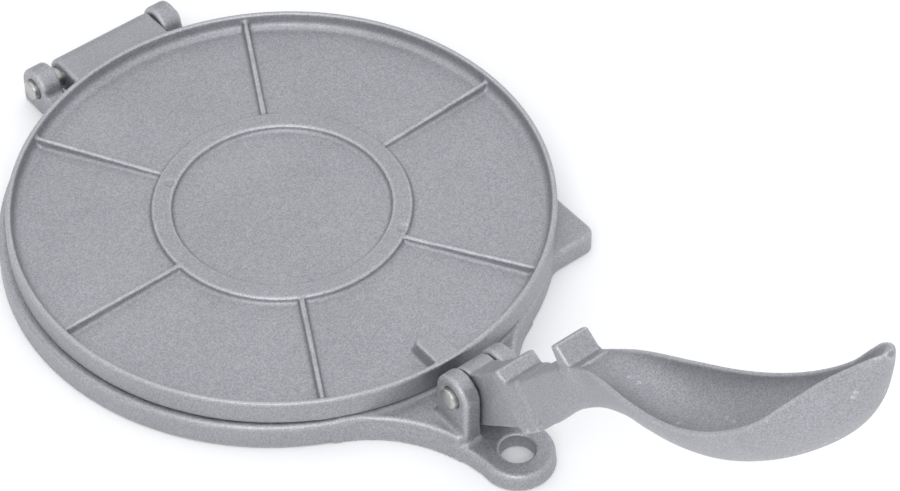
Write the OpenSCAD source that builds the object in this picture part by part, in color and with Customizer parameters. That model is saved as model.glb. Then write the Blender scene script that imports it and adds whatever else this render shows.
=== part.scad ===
// Hand press for flattening balls of dough between two round cast plates.
// Frame: millimetres, +Z up, origin under the plate axis on the worktop,
// +Y towards the plate hinge, -Y towards the lever, both pins along X.
// The press is drawn closed with its lever swung outwards, off the plate.

/* [Base plate] */
// How far the lower plate reaches past the upper one
base_edge = 1.7; // [1:0.1:6]
// Height of the lower plate's pressing face above the worktop
base_h = 10.8; // [9:0.1:14]
// Thickness of the lower plate's web
base_web = 4.6; // [3.5:0.1:6]
// Thickness of the skirt round the lower plate's underside
skirt_w = 4.2; // [3:0.1:7]
// Width of the ribs under the lower plate
base_rib_w = 3.2; // [2:0.1:6]

/* [Upper plate] */
// Outer radius of the upper plate
plate_r = 102.3; // [90:0.1:120]
// Gap between the closed plates
plate_gap = 0.4; // [0.2:0.05:1]
// Thickness of the upper plate's web
plate_web = 4.3; // [3:0.1:6]
// Height of the raised rim above the web
rim_h = 5.8; // [4.5:0.1:7]
// Width of the raised rim
rim_w = 2.4; // [1.6:0.1:4]
// Outer radius of the raised ring
ring_r = 48.7; // [42:0.1:60]
// Width of the raised ring
ring_w = 8; // [5:0.1:12]
// Height of the raised ring above the web
ring_h = 2.3; // [1.5:0.1:3]
// Width of the radial ribs
rib_w = 2.4; // [1.6:0.1:4]
// Height of the radial ribs where they meet the rim
rib_h = 3.6; // [2.3:0.1:4.4]
// Number of radial ribs
rib_count = 6; // [4:2:12]
// Turn of the rib pattern about the plate axis
rib_turn = 1.6; // [-4:0.1:4]

// Sideways set of the upper plate along its hinge pin
plate_side = 1.4; // [-1.6:0.1:1.6]
// How far the upper plate's disc stands nearer to the lever than the lower one
plate_set = 1.1; // [0:0.1:1.5]

/* [Lever pad on the upper plate] */
// Width of the pad that the lever presses on
pad_w = 12; // [8:0.5:20]
// Length of the pad inwards from the rim
pad_len = 13.1; // [11:0.1:14]
// Corner radius of the pad
pad_corner = 3; // [1:0.5:4]

/* [Plate hinge] */
// Distance of the hinge pin behind the upper plate's edge
hinge_reach = 11.7; // [10.8:0.1:20]
// Height of the hinge pin above the worktop
hinge_z = 10.5; // [9.5:0.1:11]
// Half width of the upper plate's hinge tongue
tongue_half = 22.2; // [16:0.1:30]
// Radius of the hinge barrel at the end of the tongue
barrel_r = 6.6; // [6:0.1:7]
// Radius of the two hinge knuckles on the base
knuckle_r = 8; // [7:0.1:9]
// Width of each hinge knuckle
knuckle_w = 8.6; // [7:0.1:14]
// Side clearance between the tongue and each knuckle
knuckle_gap = 1.9; // [0.3:0.05:2.5]

/* [Pins] */
// Radius of the hinge pin and of the lever pin
pin_r = 4; // [3:0.1:4.4]
// Radial running clearance of the bores that turn on the pins
pin_play = 0.05; // [0.02:0.01:0.09]
// Chamfer round the pin holes
hole_chamfer = 0.5; // [0.2:0.1:0.8]
// How far each pin stands out of the lugs that hold it
pin_proud = 2; // [0.2:0.1:2.2]

/* [Tab and lever ears] */
// Distance of the hanging hole in front of the lower plate's edge
tab_reach = 36.4; // [34:0.2:42]
// Radius of the rounded tab
tab_r = 14; // [11:0.1:15]
// Thickness of the tab and its neck
tab_h = 6.9; // [5:0.1:6.9]
// Radius of the hanging hole
hang_r = 6.3; // [4:0.1:7]
// Radius of the concave flare between plate and tab
flare_r = 55; // [40:1:65]
// Distance of the lever pin in front of the lower plate's edge
pivot_reach = 15.5; // [13:0.5:18]
// Height of the lever pin above the worktop
pivot_z = 24.6; // [24.6:0.1:27]
// Radius of the ears round the lever pin
ear_r = 8.5; // [7:0.1:9.5]
// Thickness of each ear
ear_w = 7; // [5:0.1:9]
// Height of the neck on which the ears stand
neck_h = 10.4; // [8:0.1:10.6]
// Set-back of the neck's front from the front of the ears
neck_set = 1; // [0.5:0.1:3]
// Side clearance between the lever hub and each ear
ear_gap = 0.5; // [0.2:0.05:0.6]

/* [Corner tab] */
// Reach of the corner tab's point past the lower plate's edge
corner_reach = 14.7; // [10:0.1:20]
// Turn of the corner tab's point from the side towards the lever
corner_turn = 41.72; // [38:0.1:45]
// Corner radius of the corner tab
corner_r = 4.5; // [3:0.5:8]
// Thickness of the corner tab
corner_h = 9.3; // [7:0.1:9.5]

/* [Lever] */
// Rise of the lever above the horizontal when it rests on its heel
lever_rise = 40; // [36:1:44]
// Width of the lever hub between the ears
hub_w = 11.4; // [9:0.1:14]
// Radius of the lever hub round its pin
hub_r = 7.8; // [6.5:0.1:8.5]
// Depth of the heel below the lever pin, square to the lever
heel_depth = 15.2; // [14:0.1:15.2]
// Reach of the heel behind the lever pin, along the lever
heel_back = 9; // [6:0.1:9]
// Length of the lever from its pin to its tip
lever_len = 252.6; // [230:0.1:260]
// Half width of the spoon where it is widest
spoon_half = 20.6; // [17:0.1:24]
// Depth of the spoon's underside below the lever pin's centre line
spoon_drop = 20.6; // [18:0.1:22]
// Thickness of the spoon's wall
spoon_wall = 3.2; // [2.5:0.1:5]
// Distance of the dip in the hub's top from the lever pin
dip_s = 13; // [12:0.1:14]
// Height of the dip in the hub's top above the lever pin's centre line
dip_top = 5.3; // [4.6:0.1:5.5]
// Distance of the pressing nose's crest from the lever pin
nose_s = 31; // [30:0.1:32]
// Length of the pressing nose from its shoulder to its crest
nose_len = 4.6; // [3:0.1:5]
// Lean of the shoulder between its top and its foot
nose_lean = 4; // [2:0.1:5]
// Width of the pressing nose and of the root block under it
nose_w = 16.8; // [14.4:0.1:17.6]
// Height of the pressing nose above the lever pin's centre line
nose_top = 8.6; // [8:0.1:8.7]
// Depth of the root block below the lever pin's centre line
root_drop = 16.4; // [16:0.1:17]
// Length of the root block past the nose's crest
root_len = 9; // [8:0.1:10]
// Height of the lever's back in front of the nose
back_top = 3.4; // [3.2:0.1:4]
// Distance of the upright prong's outer face from the lever pin
prong_s = 78.6; // [74:0.1:84]
// Thickness of the upright prong along the lever
prong_t = 5.4; // [4:0.1:9]
// Width of the upright prong
prong_w = 14; // [8:0.1:14]
// Height of the upright prong above the lever pin's centre line
prong_top = 18.8; // [14:0.1:19]

/* [Hidden] */
$fn = 96;

cast = [0.70, 0.70, 0.72];
steel = [0.80, 0.79, 0.76];

base_r = plate_r + base_edge;
base_under = base_h - base_web;
hinge_y = plate_r + hinge_reach;
tab_y = base_r + tab_reach;
pivot_y = base_r + pivot_reach;
corner_x = (base_r + corner_reach) * cos(corner_turn);
corner_y = (base_r + corner_reach) * sin(corner_turn);
plate_low = base_h + plate_gap;
plate_floor = plate_low + plate_web;
rim_top = plate_floor + rim_h;
knuckle_in = tongue_half + knuckle_gap;
knuckle_out = knuckle_in + knuckle_w;
ear_in = hub_w / 2 + ear_gap;
ear_out = ear_in + ear_w;
neck_y = pivot_y + ear_r - neck_set;
tab_end = tab_y + tab_r + 1;

// Centre of the flare's arc, tangent to the plate's edge and a hair into the tab's end
flare_d1 = base_r + flare_r;
flare_d2 = tab_r + flare_r - 0.15;
flare_y = (tab_y * tab_y + flare_d1 * flare_d1 - flare_d2 * flare_d2) / (2 * tab_y);
flare_x = sqrt(flare_d1 * flare_d1 - flare_y * flare_y);

// Lever stations along its axis: distance from the pin, half width, top (or
// spoon edge), underside, and how far the spoon is hollowed (0 to 1)
ST = [
    [34, 6.9, 2.4, -15.6, 0],
    [40, 7.1, 3.0, -14.9, 0],
    [48, 7.1, 4.8, -13.7, 0],
    [55, 7.1, 6.3, -11.5, 0],
    [62, 7.1, 7.6, -9.4, 0],
    [70, 7.1, 8.8, -7.6, 0],
    [84, 7.4, 9.6, -7.0, 0],
    [100, 10.4, 7.8, -9.3, 0.35],
    [120, 14.6, 2.2, -14.4, 0.85],
    [140, 17.8, -2.4, -18.4, 1],
    [160, 19.8, -4.1, -20.6, 1],
    [180, 20.6, -3.0, -19.8, 1],
    [200, 20.2, 0.7, -16.5, 1],
    [218, 17.4, 6.8, -11.2, 0.9],
    [231, 13, 11.2, -4.4, 0.75],
    [242, 8.4, 13.9, 4.6, 0.4],
    [249, 4.6, 15.2, 11.2, 0.1],
    [252.6, 1.6, 15.7, 13.6, 0]
];
lever_k = lever_len / ST[len(ST) - 1][0];
wide_k = spoon_half / 20.6;
deep_k = spoon_drop / 20.6;

// Smooth curve through the stations: value of column c at distance s
function st_i(s, i = 0) = (i >= len(ST) - 2 || s < ST[i + 1][0]) ? i : st_i(s, i + 1);
function slope(i, c) =
    i <= 0 ? (ST[1][c] - ST[0][c]) / (ST[1][0] - ST[0][0]) :
    i >= len(ST) - 1 ? (ST[i][c] - ST[i - 1][c]) / (ST[i][0] - ST[i - 1][0]) :
    (ST[i + 1][c] - ST[i - 1][c]) / (ST[i + 1][0] - ST[i - 1][0]);
function herm(a, b, ma, mb, h, u) =
    a * (1 + 2 * u) * (1 - u) * (1 - u) + b * u * u * (3 - 2 * u)
    + h * ma * u * (1 - u) * (1 - u) - h * mb * u * u * (1 - u);
function at(s, c) =
    let (i = st_i(s), h = ST[i + 1][0] - ST[i][0], u = (s - ST[i][0]) / h)
    herm(ST[i][c], ST[i + 1][c], slope(i, c), slope(i + 1, c), h, u);

// Squareness of the section: boxy at the root, round at the spoon
function soft(s) = min(1, max(0, (s - 60) / 50));
function pw(v, q) = sign(v) * pow(abs(v), q);
half_n = 12;

// One section of the lever as points [x, along, up]
function section(s) =
    let (
        w = wide_k * at(s, 1), top = deep_k * at(s, 2), low = deep_k * at(s, 3),
        q = 0.45 + 0.55 * soft(s),
        wall = min(spoon_wall, w * 0.6),
        open = max(0, min(1, at(s, 4))),
        lip = 0.6 * deep_k * open,
        crown = 0.5 * deep_k * (1 - open),
        hollow = open * max(0, top - low - spoon_wall)
    )
    concat(
        [for (k = [0:half_n])
            let (u = 180 * k / half_n)
            [w * pw(cos(u), q), s * lever_k, top - (top - low) * pow(sin(u), q)]],
        [for (k = [half_n:-1:0])
            let (u = 180 * k / half_n)
            [
                (w - wall * 0.5) * cos(u),
                s * lever_k,
                top + 0.2 * deep_k + lip + crown * sin(u) - (hollow + lip) * pow(sin(u), 0.8)
            ]]
    );

stations = concat([for (s = [34:6:94]) s], [for (s = [100:8:228]) s], [234, 240, 244.5, 248, 250.8, 252.6]);

module arm() {
    rings = [for (s = stations) section(s)];
    n = len(rings[0]);
    m = len(rings);
    polyhedron(
        points = [for (r = rings) for (p = r) p],
        faces = concat(
            [for (i = [0:m - 2]) for (j = [0:n - 1])
                [i * n + j, (i + 1) * n + j, i * n + (j + 1) % n]],
            [for (i = [0:m - 2]) for (j = [0:n - 1])
                [i * n + (j + 1) % n, (i + 1) * n + j, (i + 1) * n + (j + 1) % n]],
            [[for (j = [0:n - 1]) j]],
            [[for (j = [n - 1:-1:0]) (m - 1) * n + j]]
        )
    );
}

// A solid drawn as [along, up] in the lever's side view, width w along X
module side_block(w, pts) {
    rotate([90, 0, 90])
        linear_extrude(w, center = true)
            polygon(pts);
}

module hub() {
    rotate([0, 90, 0])
        cylinder(r = hub_r, h = hub_w, center = true);
    side_block(hub_w, [
        [-heel_back, -heel_depth],
        [nose_s + 2, -heel_depth],
        [nose_s + 2, 0],
        [nose_s - nose_len + 1, nose_top - 1.3],
        [dip_s, dip_top],
        [0, hub_r - 0.5],
        [-hub_r + 0.4, 0]
    ]);
}

module lever_solid() {
    difference() {
        union() {
            hub();
            arm();
            side_block(nose_w, [
                [nose_s - nose_len + nose_lean, -root_drop],
                [nose_s + root_len, -root_drop + 1.1],
                [nose_s + root_len, back_top + 0.3],
                [nose_s + 2.8, back_top],
                [nose_s, nose_top],
                [nose_s - nose_len, nose_top - 0.9]
            ]);
            side_block(prong_w, [
                [prong_s - prong_t - 0.6, prong_top / 4],
                [prong_s + 2.4, prong_top / 4],
                [prong_s + 1, prong_top / 2],
                [prong_s, prong_top],
                [prong_s - prong_t, prong_top - 0.6]
            ]);
        }
        rotate([0, 90, 0])
            cylinder(r = pin_r + pin_play, h = 4 * hub_w, center = true);
    }
}

module lever() {
    color(cast)
        translate([0, -pivot_y, pivot_z])
            rotate([lever_rise, 0, 180])
                lever_solid();
}

// Slice of a plate's outline that carries the tab, its neck and the flares
module tab_outline() {
    translate([0, -tab_y])
        circle(r = tab_r);
    difference() {
        polygon([
            [0, 0],
            [-flare_x, -flare_y],
            [0, -tab_y],
            [flare_x, -flare_y]
        ]);
        for (side = [-1, 1])
            translate([side * flare_x, -flare_y])
                circle(r = flare_r, $fn = 180);
    }
}

module corner_outline() {
    x0 = corner_x - corner_r;
    y0 = corner_y - corner_r;
    polygon([
        [0, 0],
        [corner_x, -corner_y / 2],
        [corner_x, -y0],
        [x0, -corner_y],
        [corner_x / 2, -corner_y]
    ]);
    translate([x0, -y0])
        circle(r = corner_r);
}

module base_ears() {
    for (side = [-1, 1])
        translate([side * (ear_in + ear_w / 2), -pivot_y, 0]) {
            translate([0, 0, pivot_z])
                rotate([0, 90, 0])
                    cylinder(r = ear_r, h = ear_w, center = true);
            translate([-ear_w / 2, -ear_r, tab_h / 2])
                cube([ear_w, 2 * ear_r, pivot_z - tab_h / 2]);
        }
}

module base_knuckles() {
    for (side = [-1, 1])
        translate([side * (knuckle_in + knuckle_w / 2), hinge_y, 0]) {
            translate([0, 0, hinge_z])
                rotate([0, 90, 0])
                    cylinder(r = knuckle_r, h = knuckle_w, center = true);
            translate([-knuckle_w / 2, -knuckle_r, 0])
                cube([knuckle_w, 2 * knuckle_r, hinge_z]);
            translate([-knuckle_w / 2, base_r - 10 - hinge_y, 0])
                cube([knuckle_w, hinge_y - base_r - knuckle_r + 11, base_h]);
        }
}

// A hole along X with a chamfer at both outer faces
module pin_hole(r, half) {
    rotate([0, 90, 0])
        cylinder(r = r, h = 2 * half + 2, center = true);
    for (side = [-1, 1])
        translate([side * half, 0, 0])
            rotate([0, side * 90, 0])
                translate([0, 0, -hole_chamfer])
                    cylinder(r1 = r, r2 = r + 2 * hole_chamfer, h = 2 * hole_chamfer);
}

module base() {
    color(cast)
        difference() {
            union() {
                difference() {
                    cylinder(r = base_r, h = base_h, $fn = 180);
                    translate([0, 0, -1])
                        cylinder(r = base_r - skirt_w, h = base_under + 1, $fn = 180);
                }
                for (k = [0:rib_count / 2 - 1])
                    rotate([0, 0, rib_turn + k * 360 / rib_count])
                        translate([-base_r + 1, -base_rib_w / 2, 0])
                            cube([2 * base_r - 2, base_rib_w, base_under + 1]);
                difference() {
                    linear_extrude(neck_h)
                        tab_outline();
                    translate([0, 0, -1])
                        cylinder(r = base_r - skirt_w / 2, h = neck_h + 2, $fn = 180);
                    // Down to the tab's own height in front of the ears ...
                    translate([-flare_x, -tab_end, tab_h])
                        cube([2 * flare_x, tab_end - neck_y, neck_h]);
                    // ... and in the slot between them
                    translate([-ear_in - 1, -tab_end, tab_h])
                        cube([2 * ear_in + 2, tab_end - base_r + 1, neck_h]);
                }
                difference() {
                    linear_extrude(corner_h)
                        corner_outline();
                    translate([0, 0, -1])
                        cylinder(r = base_r - skirt_w / 2, h = corner_h + 2, $fn = 180);
                }
                base_ears();
                base_knuckles();
            }
            translate([0, -tab_y, -1])
                cylinder(r = hang_r, h = tab_h + 2);
            translate([0, -pivot_y, pivot_z])
                pin_hole(pin_r, ear_out);
            translate([0, hinge_y, hinge_z])
                pin_hole(pin_r, knuckle_out);
        }
}

module plate_rib() {
    r0 = ring_r - ring_w / 2;
    r1 = plate_r - rim_w / 2;
    rotate([90, 0, 0])
        linear_extrude(rib_w, center = true)
            polygon([
                [r0, plate_floor - 1],
                [r1, plate_floor - 1],
                [r1, plate_floor + rib_h],
                [r0, plate_floor + ring_h - 0.4]
            ]);
}

module plate_pad() {
    y_in = plate_r - rim_w - pad_len;
    h = rim_top - plate_floor + 1;
    translate([-pad_w / 2, -plate_r + rim_w / 2 - plate_set, plate_floor - 1])
        cube([pad_w, pad_len + rim_w / 2 + plate_set - pad_corner, h]);
    translate([-pad_w / 2 + pad_corner, -y_in - 2 * pad_corner, plate_floor - 1])
        cube([pad_w - 2 * pad_corner, 2 * pad_corner, h]);
    for (side = [-1, 1])
        translate([side * (pad_w / 2 - pad_corner), -y_in - pad_corner, plate_floor - 1])
            cylinder(r = pad_corner, h = h);
}

// The disc with its rim, ring, ribs and pad, about its own axis
module plate_disc() {
    translate([0, 0, plate_low])
        cylinder(r = plate_r, h = plate_web, $fn = 180);
    difference() {
        translate([0, 0, plate_low])
            cylinder(r = plate_r, h = rim_top - plate_low, $fn = 180);
        translate([0, 0, plate_low - 1])
            cylinder(r = plate_r - rim_w, h = rim_top, $fn = 180);
    }
    difference() {
        translate([0, 0, plate_floor - 1])
            cylinder(r = ring_r, h = ring_h + 1, $fn = 120);
        translate([0, 0, plate_floor - 2])
            cylinder(r = ring_r - ring_w, h = ring_h + 3, $fn = 120);
    }
    for (k = [0:rib_count - 1])
        rotate([0, 0, rib_turn + k * 360 / rib_count])
            plate_rib();
    // The pad stays on the base's middle line, under the lever
    translate([-plate_side, plate_set, 0])
        plate_pad();
}

module upper_plate() {
    // The tongue starts inside the rim at its outer corners
    tongue_y = sqrt(plate_r * plate_r - tongue_half * tongue_half) - 4 * rim_w;
    color(cast)
        difference() {
            union() {
                translate([plate_side, -plate_set, 0])
                    plate_disc();
                difference() {
                    translate([plate_side, 0, 0]) {
                        translate([-tongue_half, tongue_y, plate_low])
                            cube([2 * tongue_half, hinge_y - tongue_y, hinge_z + barrel_r - plate_low]);
                        translate([0, hinge_y, hinge_z])
                            rotate([0, 90, 0])
                                cylinder(r = barrel_r, h = 2 * tongue_half, center = true);
                    }
                    translate([plate_side, -plate_set, 0])
                        cylinder(r = plate_r - rim_w / 2, h = rim_top + 1, $fn = 180);
                }
            }
            translate([0, hinge_y, hinge_z])
                rotate([0, 90, 0])
                    cylinder(r = pin_r + pin_play, h = 4 * tongue_half, center = true);
        }
}

module hinge_pin() {
    color(steel)
        translate([0, hinge_y, hinge_z])
            rotate([0, 90, 0])
                cylinder(r = pin_r, h = 2 * (knuckle_out + pin_proud), center = true);
}

module lever_pin() {
    color(steel)
        translate([0, -pivot_y, pivot_z])
            rotate([0, 90, 0])
                cylinder(r = pin_r, h = 2 * (ear_out + pin_proud), center = true);
}

base();
upper_plate();
lever();
hinge_pin();
lever_pin();
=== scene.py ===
import math

import bpy
import numpy as np
from mathutils import Matrix, Vector


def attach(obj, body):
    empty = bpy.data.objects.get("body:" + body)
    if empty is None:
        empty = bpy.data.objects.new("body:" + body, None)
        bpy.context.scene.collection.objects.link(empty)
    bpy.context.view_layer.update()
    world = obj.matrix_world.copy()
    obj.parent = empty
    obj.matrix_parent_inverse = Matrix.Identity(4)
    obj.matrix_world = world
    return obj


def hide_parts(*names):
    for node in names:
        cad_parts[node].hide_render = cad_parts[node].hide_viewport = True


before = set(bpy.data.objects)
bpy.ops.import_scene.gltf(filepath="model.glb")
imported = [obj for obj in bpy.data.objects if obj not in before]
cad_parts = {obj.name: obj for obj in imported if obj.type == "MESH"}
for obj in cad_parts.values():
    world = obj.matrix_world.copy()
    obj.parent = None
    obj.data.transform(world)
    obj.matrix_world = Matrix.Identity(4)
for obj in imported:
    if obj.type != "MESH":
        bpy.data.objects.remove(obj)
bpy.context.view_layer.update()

# ---------------------------------------------------------------- sizes, mm
BASE_R, BASE_H, BASE_WEB, SKIRT_W, BASE_RIB_W = 104.0, 10.8, 4.6, 4.2, 3.2
PLATE_R, PLATE_LOW, PLATE_FLOOR, RIM_TOP, RIM_W = 102.3, 11.2, 15.5, 21.3, 2.4
RING_R, RING_W, RING_H = 48.7, 8.0, 2.3
RIB_W, RIB_H, RIB_TURN = 2.4, 3.6, math.radians(1.6)
PAD_W, PAD_IN = 12.0, 86.8
PLATE_SIDE, PLATE_SET = 1.4, 1.1
HINGE_Y, HINGE_Z, TONGUE, BARREL_R = 114.0, 10.5, 22.2, 6.6
KNUCKLE_R, KNUCKLE_IN, KNUCKLE_OUT = 8.0, 24.1, 32.7
PIN_R, PIN_PROUD = 4.0, 2.0
PIN_FIT = 0.05      # room round a pin in the piece that turns on it
PIN_SHORT = 0.05    # keeps a pin's crowned ends inside its solid
TAB_Y, TAB_R, TAB_H, HANG_R, FLARE_R = 140.4, 14.0, 6.9, 6.3, 55.0
PIVOT_Y, PIVOT_Z, EAR_R, EAR_IN, EAR_OUT = 119.5, 24.6, 8.5, 6.2, 13.2
NECK_H, NECK_Y = 10.4, 127.0
CORNER_X, CORNER_Y, CORNER_R, CORNER_H = 88.6, 79.0, 4.5, 9.3
RISE = math.radians(40)
HUB_HALF, HUB_R, HUB_END = 5.7, 7.8, 21
ROOT_S, ROOT_HALF, PRONG_HALF = 31, 8.4, 7.0
LEVER_START, LEVER_LEN = 34, 252.6
SPOON_WALL = 3.2
EJECTORS = (-26.3, 34.7), (27.2, -37.9)     # dents of the ejectors on the ring
SECTOR = math.pi / 3                        # between two ribs
DRAFT = 0.10                                # slope of the cast sides
FAR = 99                                    # a field value that never meets a surface
# Lever's sections, mm: place along it, half width, top, underside, depth of the spoon (0 to 1)
STATIONS = np.array([
    [34, 6.9, 2.4, -15.6, 0], [40, 7.1, 3.0, -14.9, 0], [48, 7.1, 4.8, -13.7, 0],
    [55, 7.1, 6.3, -11.5, 0], [62, 7.1, 7.6, -9.4, 0], [70, 7.1, 8.8, -7.6, 0],
    [84, 7.4, 9.6, -7.0, 0], [100, 10.4, 7.8, -9.3, 0.35], [120, 14.6, 2.2, -14.4, 0.85],
    [140, 17.8, -2.4, -18.4, 1], [160, 19.8, -4.1, -20.6, 1], [180, 20.6, -3.0, -19.8, 1],
    [200, 20.2, 0.7, -16.5, 1], [218, 17.4, 6.8, -11.2, 0.9], [231, 13, 11.2, -4.4, 0.75],
    [242, 8.4, 13.9, 4.6, 0.4], [249, 4.6, 15.2, 11.2, 0.1], [252.6, 1.6, 15.7, 13.6, 0]])


# ------------------------------------------------- distance fields, in mm
def both(a, b, r=0.0):
    """Where both fields are inside; the edge between them is rounded by r."""
    m = np.maximum(a, b)
    if r <= 0:
        return m
    return np.minimum(-r, m) + np.hypot(np.maximum(a + r, 0), np.maximum(b + r, 0))


def either(a, b, r=0.0):
    """Where either field is inside; the corner between them gets a fillet r."""
    m = np.minimum(a, b)
    if r <= 0:
        return m
    return np.maximum(r, m) - np.hypot(np.maximum(r - a, 0), np.maximum(r - b, 0))


def cut(a, b, r=0.0):
    return both(a, -b, r)


def grid(lo, hi, h):
    axes = [np.arange(a - 2 * h, b + 2.5 * h, h, dtype=np.float32) for a, b in zip(lo, hi)]
    x, y, z = axes
    return x[:, None, None], y[None, :, None], z[None, None, :], (x[0], y[0], z[0])


def net(field, low, h):
    """Smooth quads on the zero surface of a field sampled on a grid."""
    f = field
    s = f < 0
    n = [d - 1 for d in f.shape]
    corner = [(i, j, k) for i in (0, 1) for j in (0, 1) for k in (0, 1)]
    part = lambda a, c: a[c[0]:c[0] + n[0], c[1]:c[1] + n[1], c[2]:c[2] + n[2]]
    count = sum(part(s, c).astype(np.int8) for c in corner)
    live = (count > 0) & (count < 8)
    cell = np.argwhere(live)
    index = np.full(live.shape, -1, np.int64)
    index[live] = np.arange(len(cell))
    value = {c: f[cell[:, 0] + c[0], cell[:, 1] + c[1], cell[:, 2] + c[2]].astype(np.float64)
             for c in corner}
    total = np.zeros((len(cell), 3))
    hits = np.zeros(len(cell))
    for a in corner:
        for axis in range(3):
            if a[axis]:
                continue
            b = tuple(v + (k == axis) for k, v in enumerate(a))
            fa, fb = value[a], value[b]
            m = (fa < 0) != (fb < 0)
            t = np.where(m, fa / np.where(m, fa - fb, 1), 0)
            p = np.tile(np.array(a, float), (len(cell), 1))
            p[:, axis] += t
            total += p * m[:, None]
            hits += m
    points = (cell + total / hits[:, None]) * h + np.array(low)
    quads = []
    for axis in range(3):
        u, v = [(1, 2), (2, 0), (0, 1)][axis]
        a = np.take(s, range(0, s.shape[axis] - 1), axis)
        b = np.take(s, range(1, s.shape[axis]), axis)
        e = np.argwhere(a != b)
        e = e[(e[:, u] > 0) & (e[:, v] > 0) & (e[:, u] < n[u]) & (e[:, v] < n[v])]
        inside = a[tuple(e.T)]
        ring = []
        for du, dv in ((-1, -1), (0, -1), (0, 0), (-1, 0)):
            q = e.copy()
            q[:, u] += du
            q[:, v] += dv
            ring.append(index[tuple(q.T)])
        q = np.stack(ring, 1)
        q[~inside] = q[~inside][:, ::-1]
        quads.append(q)
    return points, np.vstack(quads)


def settle(points, field, low, h, steps=2):
    """Moves the points onto the field's zero surface along its slope."""
    g = np.gradient(field, h)
    top = np.array(field.shape) - 1.001
    for _ in range(steps):
        q = np.clip((points - np.array(low)) / h, 0, top)
        i = q.astype(int)
        w = q - i
        out = []
        for a in (field, *g):
            v = 0
            for c in ((0, 0, 0), (1, 0, 0), (0, 1, 0), (1, 1, 0),
                      (0, 0, 1), (1, 0, 1), (0, 1, 1), (1, 1, 1)):
                k = np.prod([w[:, d] if c[d] else 1 - w[:, d] for d in range(3)], axis=0)
                v = v + k * a[i[:, 0] + c[0], i[:, 1] + c[1], i[:, 2] + c[2]]
            out.append(v)
        d = np.stack(out[1:], 1)
        n2 = np.maximum((d ** 2).sum(1), 0.2)
        move = np.clip(out[0], -h, h)[:, None] * d / n2[:, None]
        points = points - 0.8 * move
    return points


def piece(name, points, faces, material):
    """A smooth-shaded object from points in millimetres."""
    mesh = bpy.data.meshes.new(name)
    points = np.ascontiguousarray(points * 0.001, np.float32)
    faces = np.ascontiguousarray(faces, np.int32)
    mesh.vertices.add(len(points))
    mesh.vertices.foreach_set("co", points.ravel())
    mesh.loops.add(faces.size)
    mesh.loops.foreach_set("vertex_index", faces.ravel())
    mesh.polygons.add(len(faces))
    mesh.polygons.foreach_set("loop_start", np.arange(0, faces.size, faces.shape[1], dtype=np.int32))
    mesh.update(calc_edges=True)
    mesh.validate()
    mesh.polygons.foreach_set("use_smooth", np.ones(len(mesh.polygons), bool))
    mesh.materials.append(material)
    obj = bpy.data.objects.new(name, mesh)
    bpy.context.scene.collection.objects.link(obj)
    return obj


def unit(field, h):
    """A field divided by its own slope, so that it reads as a distance near its surface."""
    g = np.gradient(field, h)
    size = np.sqrt(g[0] ** 2 + g[1] ** 2 + g[2] ** 2)
    return field / np.maximum(size, 0.05)


# -------------------------------------------------------------- materials
def nodes_of(name):
    m = bpy.data.materials.new(name)
    m.use_nodes = True
    t = m.node_tree
    t.nodes.clear()
    out = t.nodes.new("ShaderNodeOutputMaterial")
    bsdf = t.nodes.new("ShaderNodeBsdfPrincipled")
    t.links.new(bsdf.outputs[0], out.inputs[0])
    return m, t, bsdf


def noise(t, where, scale, detail, rough=0.55):
    n = t.nodes.new("ShaderNodeTexNoise")
    n.inputs["Scale"].default_value = scale
    n.inputs["Detail"].default_value = detail
    n.inputs["Roughness"].default_value = rough
    t.links.new(where, n.inputs["Vector"])
    return n.outputs["Fac"]


def ramp(t, value, stops):
    """Colours over a value; each stop is (value, colour)."""
    r = t.nodes.new("ShaderNodeValToRGB")
    elements = r.color_ramp.elements
    for e, (place, colour) in zip((elements[0], elements[1]), (stops[0], stops[-1])):
        e.position, e.color = place, (*colour, 1)
    for place, colour in stops[1:-1]:
        elements.new(place).color = (*colour, 1)
    t.links.new(value, r.inputs[0])
    return r.outputs[0]


def times(t, a, b):
    """One colour times another."""
    m = t.nodes.new("ShaderNodeMix")
    m.data_type = "RGBA"
    m.blend_type = "MULTIPLY"
    m.inputs[0].default_value = 1.0
    t.links.new(a, m.inputs[6])
    t.links.new(b, m.inputs[7])
    return m.outputs[2]


def span(t, value, lo, hi, a, b):
    """Goes from a to b as the value goes from lo to hi."""
    n = t.nodes.new("ShaderNodeMapRange")
    for key, v in (("From Min", lo), ("From Max", hi), ("To Min", a), ("To Max", b)):
        n.inputs[key].default_value = v
    t.links.new(value, n.inputs["Value"])
    return n.outputs[0]


def bump(t, height, strength, distance):
    n = t.nodes.new("ShaderNodeBump")
    n.inputs["Strength"].default_value = strength
    n.inputs["Distance"].default_value = distance
    t.links.new(height, n.inputs["Height"])
    return n


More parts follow.
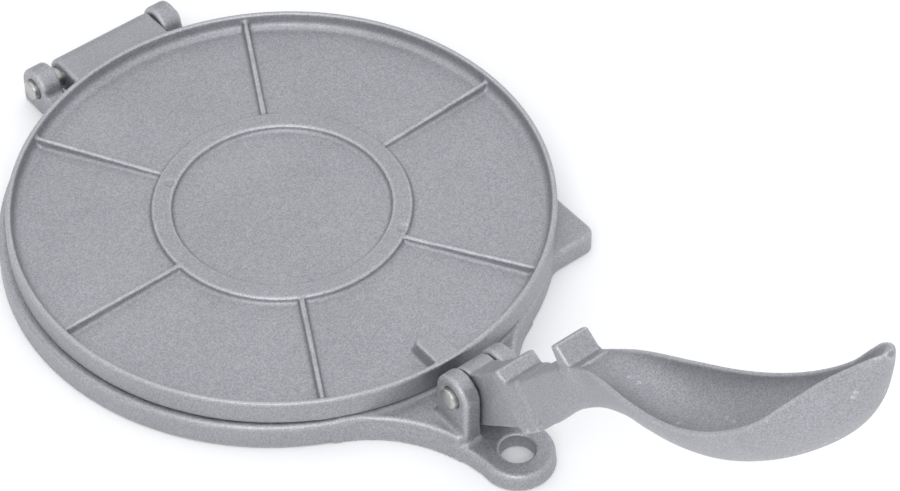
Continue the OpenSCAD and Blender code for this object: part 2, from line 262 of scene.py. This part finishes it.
def cast_aluminium(tone):
    """As-cast skin: clouds, grain and fine specks; convex edges lightened, partly rubbed wear and
    partly painted highlight, and concave corners darkened as painted shade.
    """
    m, t, bsdf = nodes_of("cast_aluminium")
    where = t.nodes.new("ShaderNodeTexCoord").outputs["Object"]
    cloud = noise(t, where, 32, 3)
    speck = noise(t, where, 1700, 1.5, 0.55)
    grain = noise(t, where, 620, 3, 0.6)
    a = ramp(t, cloud, [(0.28, [c * 0.95 for c in tone]), (0.72, [c * 1.04 for c in tone])])
    b = ramp(t, speck, [(0.32, (0.76, 0.76, 0.77)), (0.50, (0.93, 0.93, 0.93)),
                        (0.70, (1.12, 1.12, 1.11))])
    c = ramp(t, grain, [(0.36, (0.93, 0.93, 0.94)), (0.64, (1.03, 1.03, 1.03))])
    skin = times(t, times(t, a, b), c)
    point = t.nodes.new("ShaderNodeNewGeometry").outputs["Pointiness"]
    # Pointiness ramp: concave corners and creases are painted darker as painted shade; convex edges
    # are painted lighter, partly rubbed wear and partly painted highlight.
    rubbed_sheen_and_crease_shade = ramp(t, point, [(0.455, (0.84, 0.84, 0.85)), (0.494, (1, 1, 1)),
                           (0.507, (1, 1, 1)), (0.54, (1.32, 1.32, 1.30))])
    t.links.new(times(t, skin, rubbed_sheen_and_crease_shade), bsdf.inputs["Base Color"])
    bsdf.inputs["Metallic"].default_value = 0.85
    t.links.new(span(t, grain, 0.3, 0.7, 0.44, 0.58), bsdf.inputs["Roughness"])
    fine = bump(t, speck, 0.5, 0.00015)
    wide = bump(t, noise(t, where, 170, 3), 0.3, 0.0005)
    t.links.new(fine.outputs[0], wide.inputs["Normal"])
    t.links.new(wide.outputs[0], bsdf.inputs["Normal"])
    return m


def turned_steel():
    """Plain steel of the pins."""
    m, t, bsdf = nodes_of("turned_steel")
    where = t.nodes.new("ShaderNodeTexCoord").outputs["Object"]
    n = noise(t, where, 420, 3)
    tint = ramp(t, n, [(0.3, (0.40, 0.39, 0.37)), (0.7, (0.55, 0.54, 0.52))])
    t.links.new(tint, bsdf.inputs["Base Color"])
    bsdf.inputs["Metallic"].default_value = 1.0
    bsdf.inputs["Roughness"].default_value = 0.34
    t.links.new(bump(t, n, 0.25, 0.0002).outputs[0], bsdf.inputs["Normal"])
    return m


CAST = cast_aluminium((0.414, 0.415, 0.436))
STEEL = turned_steel()


# ------------------------------------------------------------- upper plate
def upper_plate():
    h = 0.55
    x, y, z, low = grid((-102.4, -102.4, 3.5), (102.4, 122.2, 21.6), h)
    hy = y - PLATE_SET
    r = np.hypot(x, y)
    outer = both(both(r - (PLATE_R - 0.03 * (z - PLATE_LOW)), z - RIM_TOP, 0.9), PLATE_LOW - z, 1.4)
    inner = both(r - (PLATE_R - RIM_W - 0.5 + DRAFT * (z - PLATE_FLOOR)), PLATE_FLOOR - z, 3.0)
    plate = cut(outer, inner, 0.7)
    ring = both(np.abs(r - (RING_R - RING_W / 2)) - RING_W / 2 + 0.15 * (z - PLATE_FLOOR),
                z - (PLATE_FLOOR + RING_H), 0.6)
    ang = np.mod(np.arctan2(y, x) - RIB_TURN + SECTOR / 2, SECTOR) - SECTOR / 2
    side = np.abs(r * np.sin(ang)) - RIB_W / 2 + DRAFT * (z - PLATE_FLOOR)
    foot = RING_R - RING_W / 2
    crest = (PLATE_FLOOR + RING_H - 0.4
             + (RIB_H - RING_H + 0.4) * (r - foot) / (PLATE_R - RIM_W / 2 - foot))
    rib = both(side, z - crest, 0.55)
    rib = both(both(rib, foot - r), r - (PLATE_R - 1))
    web = both(np.minimum(ring, rib), PLATE_LOW + 1 - z)
    plate = either(plate, web, 1.3)
    for mx, my in EJECTORS:
        mark = both(np.hypot(x - mx, y - my) - 1.9, PLATE_FLOOR + RING_H - 0.45 - z)
        plate = cut(plate, mark, 0.25)
    rise = 0.16 * (z - PLATE_FLOOR)
    pad = both(np.abs(x + PLATE_SIDE) - PAD_W / 2 + rise, PAD_IN + rise + y - PLATE_SET, 2.6)
    pad = both(pad, z - RIM_TOP, 0.8)
    plate = either(plate, both(both(pad, r - (PLATE_R - 1)), PLATE_LOW + 1 - z), 1.2)
    by = hy - HINGE_Y
    barrel = np.hypot(by, z - HINGE_Z) - BARREL_R
    slab = both(z - (HINGE_Z + BARREL_R - 0.05), PLATE_LOW - z, 0.5)
    slab = both(slab, both(by, 84 - hy))
    tongue = both(np.minimum(barrel, slab), np.abs(x) - TONGUE, 1.6)
    tongue = both(tongue, (PLATE_R - 1.2) - r)
    plate = either(plate, tongue, 1.2)
    plate = np.maximum(plate, z - RIM_TOP)
    plate = np.maximum(plate, np.where(hy > HINGE_Y - 9, -FAR, PLATE_LOW - z))
    plate = np.maximum(plate, PIN_R + PIN_FIT - np.hypot(by, z - HINGE_Z))
    plate = plate.astype(np.float32)
    p, q = net(plate, low, h)
    return settle(p, plate, low, h) + np.array([PLATE_SIDE, -PLATE_SET, 0.0]), q


# -------------------------------------------------------------------- base
def base():
    h = 0.65
    x, y, z, low = grid((-104.5, -154, -0.5), (104.5, 122.5, 33.5), h)
    r = np.hypot(x, y)
    ax = np.abs(x)
    under = BASE_H - BASE_WEB
    disc = both(both(r - BASE_R, z - BASE_H, 2.0), -z, 0.8)
    hollow = both(r - (BASE_R - SKIRT_W), z - under, 1.5)
    rib = None
    for k in range(3):
        a = RIB_TURN + k * SECTOR
        d = np.abs(-math.sin(a) * x + math.cos(a) * y) - BASE_RIB_W / 2
        rib = d if rib is None else np.minimum(rib, d)
    hollow = cut(hollow, rib, 0.5)
    d1, d2 = BASE_R + FLARE_R, TAB_R + FLARE_R - 0.15
    fy = (TAB_Y ** 2 + d1 ** 2 - d2 ** 2) / (2 * TAB_Y)
    fx = math.sqrt(d1 ** 2 - fy ** 2)
    flare = FLARE_R - np.hypot(ax - fx, y + fy)
    line = (ax * fy + y * fx) / d1
    neck = both(both(flare, line), -(y + TAB_Y))
    tab = np.minimum(np.hypot(x, y + TAB_Y) - TAB_R, neck)
    tab = both(both(tab + DRAFT * z, z - TAB_H, 1.5), -z, 0.8)
    front = 0.2 * (z - TAB_H) - NECK_Y - y
    raised = both(both(neck + DRAFT * z, front, 0.8), z - NECK_H, 0.9)
    tab = either(tab, both(raised, -z), 1.2)
    qx, qy = x - CORNER_X + CORNER_R, -y - CORNER_Y + CORNER_R
    corner = (np.minimum(np.maximum(qx, qy), 0)
              + np.hypot(np.maximum(qx, 0), np.maximum(qy, 0)) - CORNER_R)
    corner = both(corner, both(30 - x, y + 20))
    corner = both(both(corner, z - CORNER_H, 1.6), -z, 0.8)
    solid = either(disc, tab, 1.6)
    solid = either(solid, corner, 1.6)
    ey = y + PIVOT_Y
    leaf = np.where(z > PIVOT_Z, np.hypot(ey, z - PIVOT_Z), np.abs(ey)) - EAR_R
    width = np.abs(ax - (EAR_IN + EAR_OUT) / 2) - (EAR_OUT - EAR_IN) / 2
    ears = both(both(leaf, width, 1.5), 1 - z)
    solid = either(solid, ears, 2.0)
    slot = both(ax - EAR_IN, both(-12 - ey, y + BASE_R + 0.2), 0.3)
    solid = np.maximum(solid, -both(slot, TAB_H - z, 0.3))
    ky = y - HINGE_Y
    knob = np.where(z > HINGE_Z, np.hypot(ky, z - HINGE_Z), np.abs(ky)) - KNUCKLE_R
    arm = both(both(y - HINGE_Y, 90 - y), z - (BASE_H - 0.05))
    width = np.abs(ax - (KNUCKLE_IN + KNUCKLE_OUT) / 2) - (KNUCKLE_OUT - KNUCKLE_IN) / 2
    knuckle = both(both(either(knob, arm, 2.0), width, 1.4), -z, 0.8)
    solid = either(solid, knuckle, 2.0)
    solid = np.maximum(solid, np.where((z > BASE_H) & (y > 60), (PLATE_R + 0.6) - r, -FAR))
    gap = both(ax - KNUCKLE_IN, (BASE_R + 0.3) - r)
    solid = np.maximum(solid, -both(gap, 60 - y))
    solid = np.maximum(solid, -z)
    solid = cut(solid, hollow, 0.5)
    solid = cut(solid, np.hypot(x, y + TAB_Y) - HANG_R, 0.9)
    for cy, cz, out in ((-PIVOT_Y, PIVOT_Z, EAR_OUT), (HINGE_Y, HINGE_Z, KNUCKLE_OUT)):
        d = np.hypot(y - cy, z - cz)
        near = np.abs(y - cy) < 12
        hole = np.where(near, d - PIN_R, FAR)
        cone = np.where(near, (d - PIN_R - 0.7 + (out - ax)) * 0.7, FAR)
        solid = np.maximum(solid, -hole)
        solid = np.maximum(solid, -cone)
    solid = solid.astype(np.float32)
    p, q = net(solid, low, h)
    return settle(p, solid, low, h), q


# ------------------------------------------------------------------- lever
def along(s, column):
    """Smooth curve through the lever's stations."""
    a, v = STATIONS[:, 0], STATIONS[:, column]
    m = np.empty_like(v)
    m[1:-1] = (v[2:] - v[:-2]) / (a[2:] - a[:-2])
    m[0], m[-1] = (v[1] - v[0]) / (a[1] - a[0]), (v[-1] - v[-2]) / (a[-1] - a[-2])
    s = np.clip(s, a[0], a[-1])
    i = np.clip(np.searchsorted(a, s, "right") - 1, 0, len(a) - 2)
    d = a[i + 1] - a[i]
    u = (s - a[i]) / d
    return (v[i] * (1 + 2 * u) * (1 - u) ** 2 + v[i + 1] * u * u * (3 - 2 * u)
            + d * m[i] * u * (1 - u) ** 2 - d * m[i + 1] * u * u * (1 - u))


def convex(s, t, corners, r):
    """A convex outline in the side view, given anticlockwise, with rounded corners."""
    d = None
    for (s0, t0), (s1, t1) in zip(corners, corners[1:] + corners[:1]):
        length = math.hypot(s1 - s0, t1 - t0)
        e = ((s - s0) * (t1 - t0) - (t - t0) * (s1 - s0)) / length
        d = e if d is None else both(d, e, r)
    return d


def lever():
    h = 0.5
    x, s, t, low = grid((-21, -9.5, -21.5), (21, 253, 19.2), h)
    ax = np.abs(x)
    ss = s[0, :, 0].astype(np.float64)
    col = lambda k: along(ss, k).astype(np.float32)[None, :, None]
    w, top, bot, open_ = col(1), col(2), col(3), np.clip(col(4), 0, 1)
    soft = np.clip((s - 60) / 50, 0, 1)
    n = 2 / (0.45 + 0.55 * soft)
    deep = np.maximum(top - bot, 0.5)
    outer = ((ax / w) ** n + (np.maximum(top - t, 0) / deep) ** n) ** (1 / n) - 1
    outer = unit(outer * np.minimum(w, deep), h)
    lip = 0.2 + 0.6 * open_ + 0.5 * (1 - open_)
    body = both(outer, t - top - lip, 1.0)
    body = both(body, both(LEVER_START - s, s - LEVER_LEN))
    wall = np.minimum(SPOON_WALL, w * 0.6)
    hollow = open_ * np.maximum(deep - SPOON_WALL, 0)
    inner = np.hypot(ax / (w - wall * 0.55), (top + lip - t) / np.maximum(hollow + lip, 0.6)) - 1
    inner = unit(inner * np.minimum(w, np.maximum(hollow, 0.6)), h)
    inner = np.where(open_ > 0.02, inner, FAR)
    body = cut(body, inner, 0.9)
    heel = [(-9, -15.2), (33, -15.2), (33, 0), (27.4, 5.3), (13, 5.3), (0, 7.3), (-7.4, 0)]
    hub = np.minimum(np.hypot(s, t) - HUB_R, convex(s, t, heel, 0.8))
    hub = np.minimum(hub, convex(s, t, [(12, 0), (33, 0), (27.4, 7.3), (13, 5.3)], 0.3))
    hub = both(hub + 0 * x, ax - HUB_HALF, 0.7)
    root = convex(s, t, [(30.4, -16.4), (40, -15.3), (40, 3.7), (29, 3.2)], 0.6)
    nose = [(30.4, -16.4), (33, -16.1), (36.5, -1.5), (31, 8.6), (26.4, 7.7)]
    root = np.minimum(root, convex(s, t, nose, 0.9))
    root = both(root + 0 * x, ax - ROOT_HALF + 0.13 * np.clip(s - ROOT_S, 0, 9), 0.7)
    prong = convex(s, t, [(72.6, 4.7), (81, 4.7), (79.6, 9.4), (78.6, 18.8), (73.2, 18.2)], 0.7)
    prong = both(prong + 0 * x, ax - PRONG_HALF, 0.7)
    solid = either(body, root, 2.5)
    solid = either(solid, hub, 0.7)
    solid = either(solid, prong, 1.4)
    solid = np.maximum(solid, np.where(s < HUB_END, ax - HUB_HALF, -FAR))
    bore = PIN_R + PIN_FIT - np.hypot(s, t)
    solid = np.maximum(solid, np.where(np.abs(s) < 8, bore, -FAR))
    solid = solid.astype(np.float32)
    p, q = net(solid, low, h)
    p = settle(p, solid, low, h)
    c, d = math.cos(RISE), math.sin(RISE)
    across, ahead, up = p.T
    return np.stack([-across, -PIVOT_Y - ahead * c + up * d, PIVOT_Z + ahead * d + up * c], 1), q


# -------------------------------------------------------------------- pins
# A pin's crowned end: radius, and how far that lies behind the end face
PIN_END = (0, 0), (1.2, 0), (2.4, 0.02), (3.3, 0.08), (3.75, 0.25), (3.97, 0.6), (PIN_R, 1.2)


def pin(name, half, y, z):
    """A pin along X through (y, z), half its length to each side."""
    n = 64
    prof = [(r, half - back) for r, back in PIN_END]
    prof = prof + [(r, -a) for r, a in reversed(prof)]
    ang = np.linspace(0, 2 * math.pi, n, endpoint=False)
    pts = [(a, y + r * math.cos(u), z + r * math.sin(u)) for r, a in prof[1:-1] for u in ang]
    m = len(prof) - 2
    quads = [(i * n + j, i * n + (j + 1) % n, (i + 1) * n + (j + 1) % n, (i + 1) * n + j)
             for i in range(m - 1) for j in range(n)]
    pts += [(half, y, z), (-half, y, z)]
    c0, c1 = len(pts) - 2, len(pts) - 1
    mesh = bpy.data.meshes.new("pin")
    tris = [(c0, (j + 1) % n, j) for j in range(n)]
    tris += [(c1, (m - 1) * n + j, (m - 1) * n + (j + 1) % n) for j in range(n)]
    mesh.from_pydata([tuple(v * 0.001 for v in p) for p in pts], [], quads + tris)
    mesh.validate()
    mesh.update()
    for f in mesh.polygons:
        f.use_smooth = True
    mesh.materials.append(STEEL)
    obj = bpy.data.objects.new(name, mesh)
    bpy.context.scene.collection.objects.link(obj)
    return obj


for make, name, slot in ((base, "base", "cast_base"),
                         (upper_plate, "upper_plate", "cast_plate"),
                         (lever, "lever", "cast_lever")):
    pts, faces = make()
    obj = piece("cast_" + name, pts, faces, CAST)
    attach(obj, name)
    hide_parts(name)

for name, half, y, z in (("hinge_pin", KNUCKLE_OUT, HINGE_Y, HINGE_Z),
                         ("lever_pin", EAR_OUT, -PIVOT_Y, PIVOT_Z)):
    obj = pin("steel_" + name, half + PIN_PROUD - PIN_SHORT, y, z)
    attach(obj, "base")
    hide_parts(name)

# ------------------------------------------------------- floor, light, camera
m = bpy.data.materials.new("pale_floor")
m.use_nodes = True
t = m.node_tree
t.nodes.clear()
matte = t.nodes.new("ShaderNodeBsdfDiffuse")
matte.inputs[0].default_value = (0.96, 0.96, 0.96, 1)
t.links.new(matte.outputs[0], t.nodes.new("ShaderNodeOutputMaterial").inputs[0])
bpy.ops.mesh.primitive_plane_add(size=8, location=(0, 0, -0.0002))
floor = bpy.context.object
floor.name = "floor"
floor.data.materials.append(m)

world = bpy.data.worlds.new("studio")
bpy.context.scene.world = world
world.use_nodes = True
wt = world.node_tree
wt.nodes.clear()
studio_light = wt.nodes.new("ShaderNodeBackground")
studio_light.inputs[0].default_value = (0.96, 0.975, 1.0, 1)
toward = wt.nodes.new("ShaderNodeSeparateXYZ")
wt.links.new(wt.nodes.new("ShaderNodeTexCoord").outputs["Generated"], toward.inputs[0])
# The studio is brighter overhead than at the horizon
wt.links.new(span(wt, toward.outputs[2], 0.02, 0.60, 0.54, 1.04), studio_light.inputs[1])
wt.links.new(studio_light.outputs[0], wt.nodes.new("ShaderNodeOutputWorld").inputs[0])


def lamp(name, place, aim, size, power):
    d = bpy.data.lights.new(name, "AREA")
    d.shape = "DISK"
    d.size = size
    d.energy = power
    o = bpy.data.objects.new(name, d)
    o.location = place
    o.rotation_euler = (Vector(aim) - Vector(place)).to_track_quat("-Z", "Y").to_euler()
    bpy.context.scene.collection.objects.link(o)


lamp("front", (-0.75, -0.85, 1.05), (0, -0.05, 0), 0.9, 6.1)
lamp("top", (-0.1, 0.2, 1.6), (0, 0, 0), 1.2, 2.2)

cam = bpy.data.cameras.new("camera")
cam.lens = 136.5
cam.sensor_width = 36
cam.clip_start = 0.05
cam_obj = bpy.data.objects.new("camera", cam)
cam_obj.matrix_world = Matrix((
    (0.7811, 0.4516, -0.4313, -0.5026),
    (-0.6244, 0.5649, -0.5395, -0.7312),
    (0.0, 0.6907, 0.7232, 0.9217),
    (0, 0, 0, 1)))
bpy.context.scene.collection.objects.link(cam_obj)
bpy.context.scene.camera = cam_obj
bpy.context.scene.view_settings.view_transform = "Standard"
